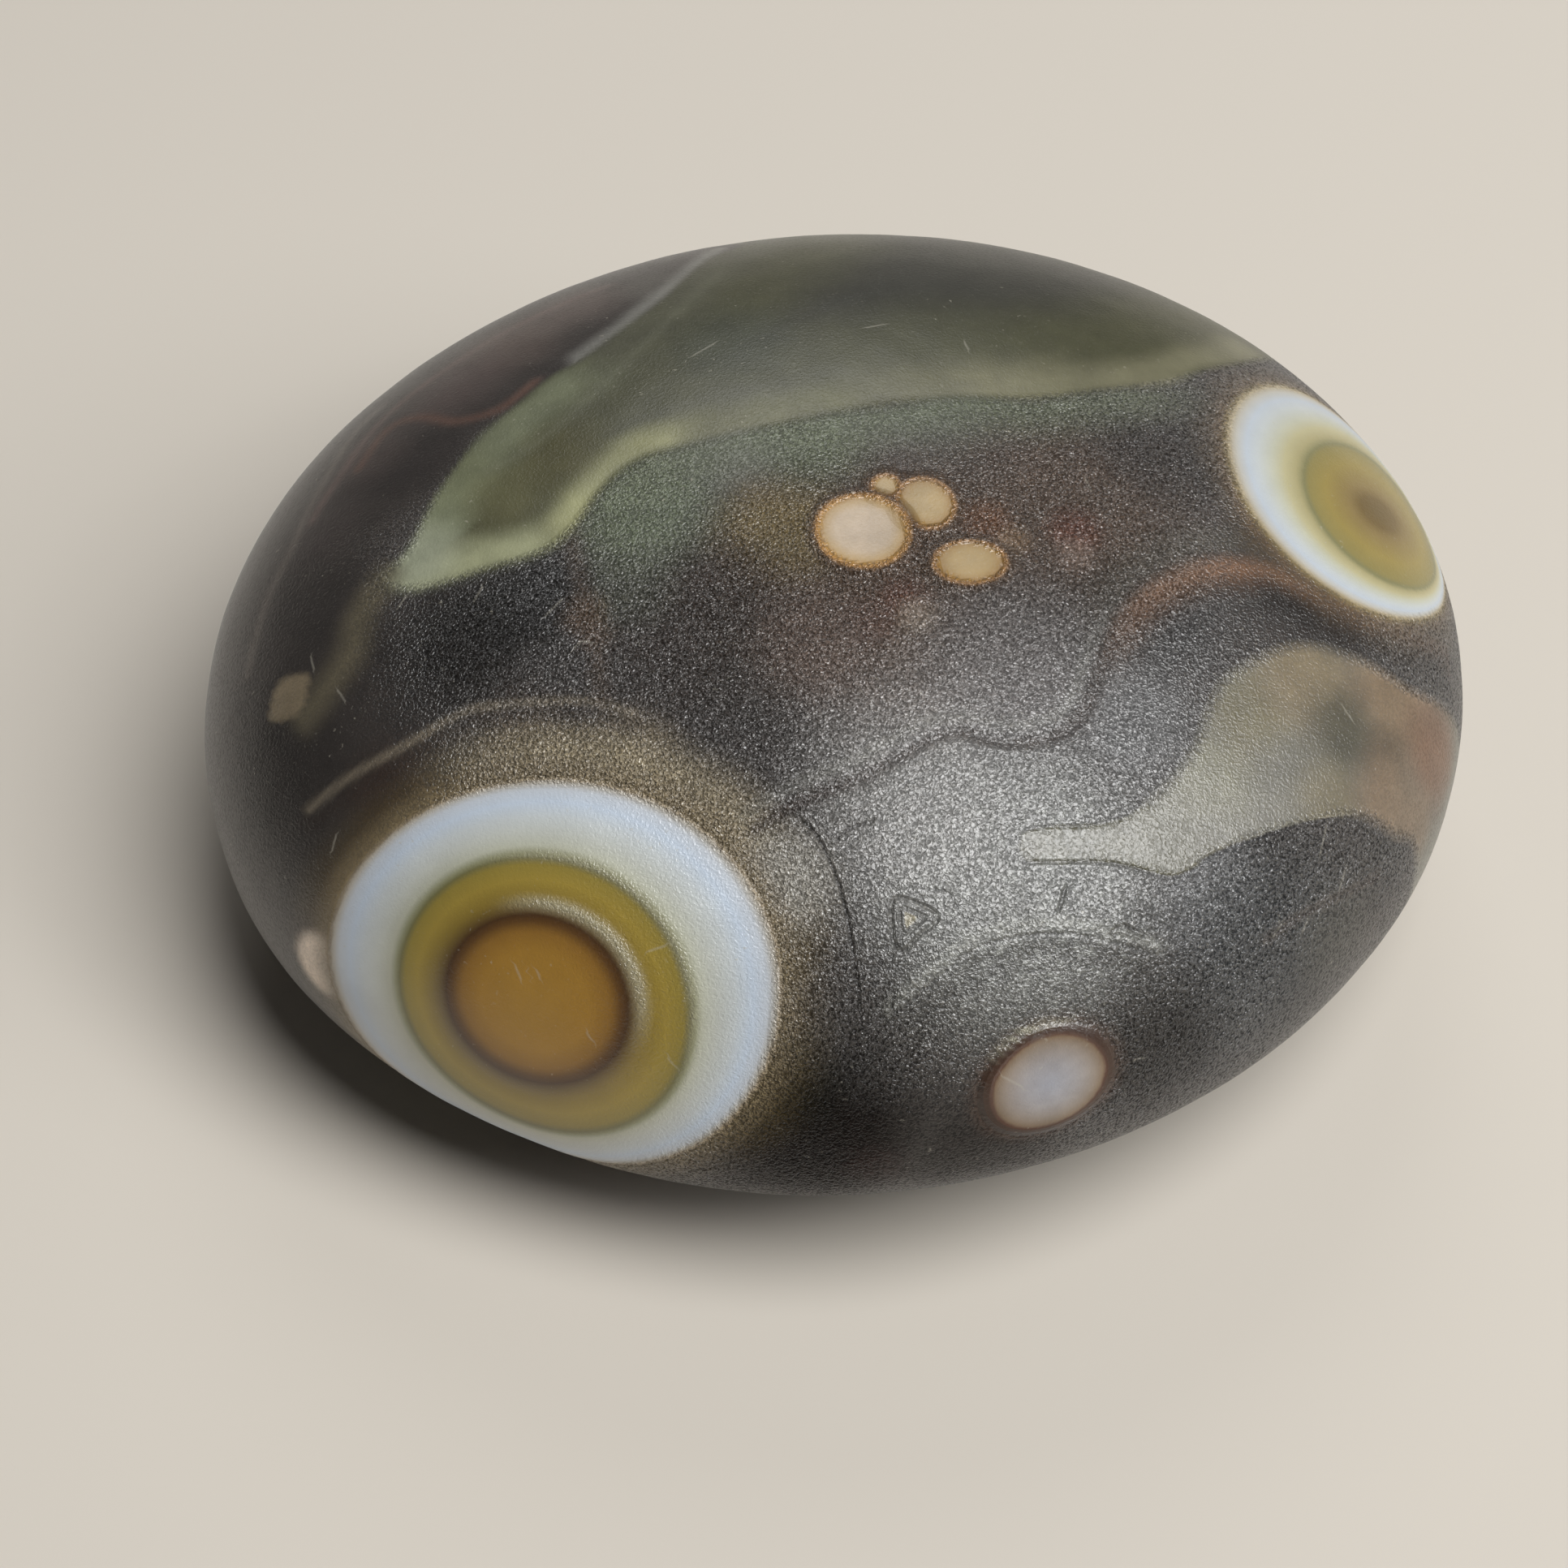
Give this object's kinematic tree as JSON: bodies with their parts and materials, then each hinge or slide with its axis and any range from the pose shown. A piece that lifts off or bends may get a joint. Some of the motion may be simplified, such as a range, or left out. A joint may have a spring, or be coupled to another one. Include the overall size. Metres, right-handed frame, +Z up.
{
  "type": "frog eye agate",
  "caption": "Frosted lens-shaped agate pebble, dark and banded, with ringed eyes and round spots, to lay on a shelf or table.",
  "frame": {"origin": "on the plane of the flat resting spot, under the middle of the stone's outline", "axes": "+X along the stone's length, towards the eye on the far side; +Y to the back, away from the large eye; +Z up, out of the domed top"},
  "size_m": [0.042, 0.0372, 0.017],
  "materials": {
    "agate": "frosted, dark grey-brown with green-grey bands, white-ringed ochre eyes and peach spots"
  },
  "bodies": {
    "root": {"pebble": "agate"}
  },
  "joints": []
}
